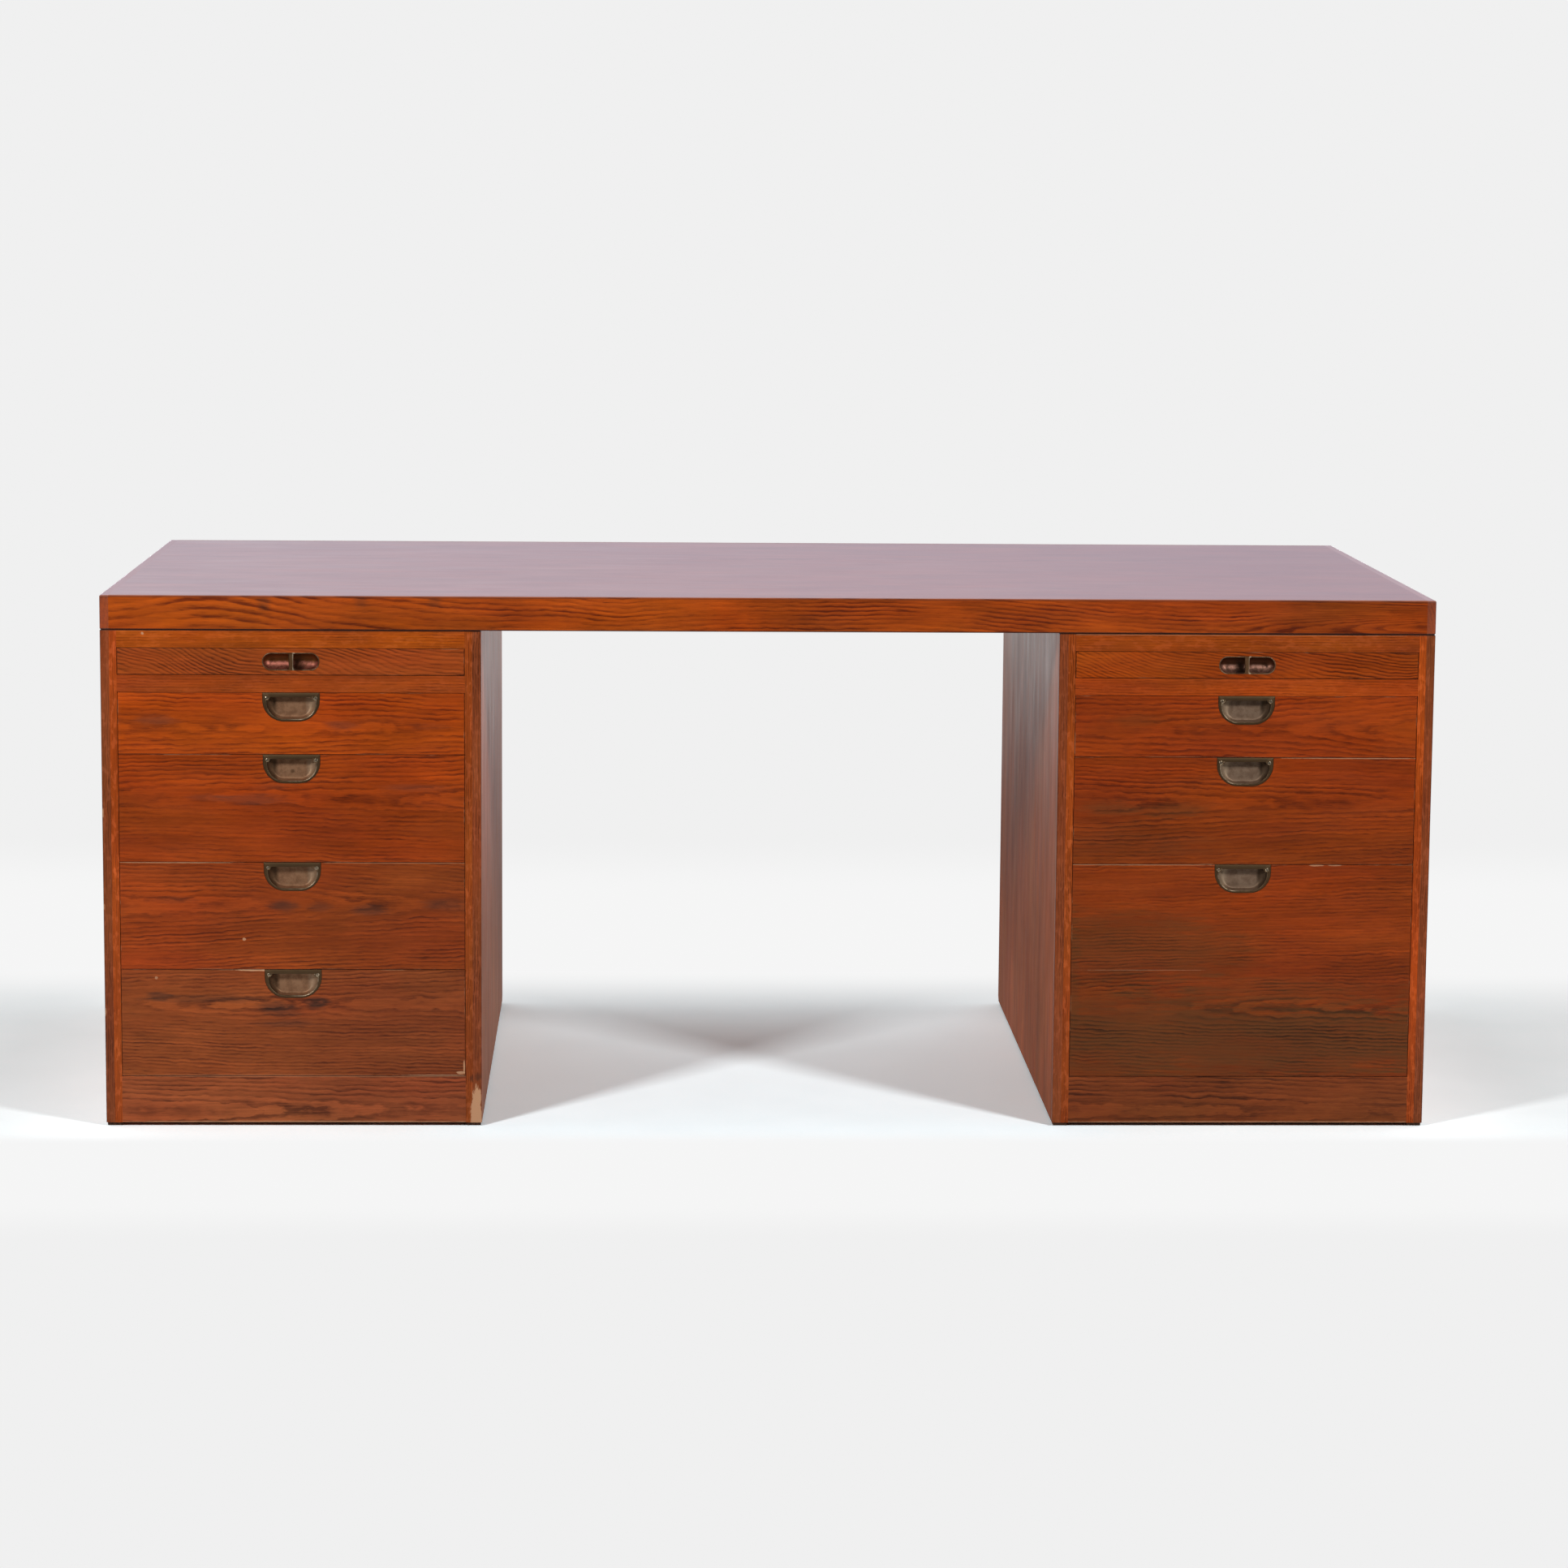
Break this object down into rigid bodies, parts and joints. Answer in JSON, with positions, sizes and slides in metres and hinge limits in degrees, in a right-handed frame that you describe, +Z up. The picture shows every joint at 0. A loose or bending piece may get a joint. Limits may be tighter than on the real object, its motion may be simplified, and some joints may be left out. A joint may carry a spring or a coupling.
{
  "type": "double-pedestal desk",
  "caption": "Writing desk with a thick plain top on two drawer pedestals, pull-out leaves, half-round flush pulls and an open kneehole between them.",
  "frame": {"origin": "on the floor, under the middle of the desktop", "axes": "+X along the desktop to the sitter's right, +Y from the drawer fronts to the back, +Z up"},
  "size_m": [1.8, 0.9, 0.725],
  "materials": {
    "desktop_veneer": "red-brown stained oak veneer, satin lacquer",
    "solid_oak_edge": "red-brown stained solid oak, satin lacquer",
    "solid_oak_strip": "orange-brown stained solid oak, satin lacquer",
    "front_veneer": "red-brown stained oak veneer with cathedral grain, satin lacquer",
    "case_veneer": "red-brown stained oak veneer, satin lacquer",
    "leaf_veneer": "red-brown stained oak veneer, satin lacquer",
    "drawer_box_wood": "pale waxed hardwood",
    "drawer_bottom_ply": "thin plywood, bare",
    "inside_wood": "bare wood",
    "runner_beech": "bare beech, waxed where it rubs",
    "foot_wood": "dark worn hardwood",
    "brass": "aged brass, dull",
    "screw_steel": "plain steel"
  },
  "bodies": {
    "carcass": {"back_panels": "case_veneer", "case_bottoms": "inside_wood", "case_tops": "case_veneer", "desktop_core": "desktop_veneer", "desktop_end_lippings": "solid_oak_edge", "desktop_long_lippings": "solid_oak_edge", "dividers": "case_veneer", "drawer_runners": "runner_beech", "foot_strips": "foot_wood", "front_rails": "case_veneer", "inner_strips": "solid_oak_strip", "leaf_kickers": "runner_beech", "left_case_inner_side": "case_veneer", "left_case_outer_side": "case_veneer", "outer_strips": "solid_oak_strip", "right_case_inner_side": "case_veneer", "right_case_outer_side": "case_veneer", "runner_screws": "screw_steel", "top_screws": "screw_steel"},
    "left_leaf": {"left_leaf_front": "front_veneer", "left_leaf_board": "leaf_veneer", "left_leaf_pull": "brass"},
    "left_drawer_1": {"left_drawer_1_front": "front_veneer", "left_drawer_1_sides": "drawer_box_wood", "left_drawer_1_back": "drawer_box_wood", "left_drawer_1_bottom": "drawer_bottom_ply", "left_drawer_1_pull": "brass"},
    "left_drawer_2": {"left_drawer_2_front": "front_veneer", "left_drawer_2_sides": "drawer_box_wood", "left_drawer_2_back": "drawer_box_wood", "left_drawer_2_bottom": "drawer_bottom_ply", "left_drawer_2_pull": "brass"},
    "left_drawer_3": {"left_drawer_3_front": "front_veneer", "left_drawer_3_sides": "drawer_box_wood", "left_drawer_3_back": "drawer_box_wood", "left_drawer_3_bottom": "drawer_bottom_ply", "left_drawer_3_pull": "brass"},
    "left_drawer_4": {"left_drawer_4_front": "front_veneer", "left_drawer_4_sides": "drawer_box_wood", "left_drawer_4_back": "drawer_box_wood", "left_drawer_4_bottom": "drawer_bottom_ply", "left_drawer_4_pull": "brass"},
    "right_leaf": {"right_leaf_front": "front_veneer", "right_leaf_board": "leaf_veneer", "right_leaf_pull": "brass"},
    "right_drawer_1": {"right_drawer_1_front": "front_veneer", "right_drawer_1_sides": "drawer_box_wood", "right_drawer_1_back": "drawer_box_wood", "right_drawer_1_bottom": "drawer_bottom_ply", "right_drawer_1_pull": "brass"},
    "right_drawer_2": {"right_drawer_2_front": "front_veneer", "right_drawer_2_sides": "drawer_box_wood", "right_drawer_2_back": "drawer_box_wood", "right_drawer_2_bottom": "drawer_bottom_ply", "right_drawer_2_pull": "brass"},
    "right_drawer_3": {"right_drawer_3_front": "front_veneer", "right_drawer_3_sides": "drawer_box_wood", "right_drawer_3_back": "drawer_box_wood", "right_drawer_3_bottom": "drawer_bottom_ply", "right_drawer_3_pull": "brass"}
  },
  "joints": [
    {"name": "left_leaf_slide", "type": "slide", "parent": "carcass", "child": "left_leaf", "axis": [0, -1, 0], "range_m": [0, 0.4]},
    {"name": "left_drawer_1_slide", "type": "slide", "parent": "carcass", "child": "left_drawer_1", "axis": [0, -1, 0], "range_m": [0, 0.46]},
    {"name": "left_drawer_2_slide", "type": "slide", "parent": "carcass", "child": "left_drawer_2", "axis": [0, -1, 0], "range_m": [0, 0.46]},
    {"name": "left_drawer_3_slide", "type": "slide", "parent": "carcass", "child": "left_drawer_3", "axis": [0, -1, 0], "range_m": [0, 0.46]},
    {"name": "left_drawer_4_slide", "type": "slide", "parent": "carcass", "child": "left_drawer_4", "axis": [0, -1, 0], "range_m": [0, 0.46]},
    {"name": "right_leaf_slide", "type": "slide", "parent": "carcass", "child": "right_leaf", "axis": [0, -1, 0], "range_m": [0, 0.4]},
    {"name": "right_drawer_1_slide", "type": "slide", "parent": "carcass", "child": "right_drawer_1", "axis": [0, -1, 0], "range_m": [0, 0.46]},
    {"name": "right_drawer_2_slide", "type": "slide", "parent": "carcass", "child": "right_drawer_2", "axis": [0, -1, 0], "range_m": [0, 0.46]},
    {"name": "right_drawer_3_slide", "type": "slide", "parent": "carcass", "child": "right_drawer_3", "axis": [0, -1, 0], "range_m": [0, 0.46]}
  ]
}
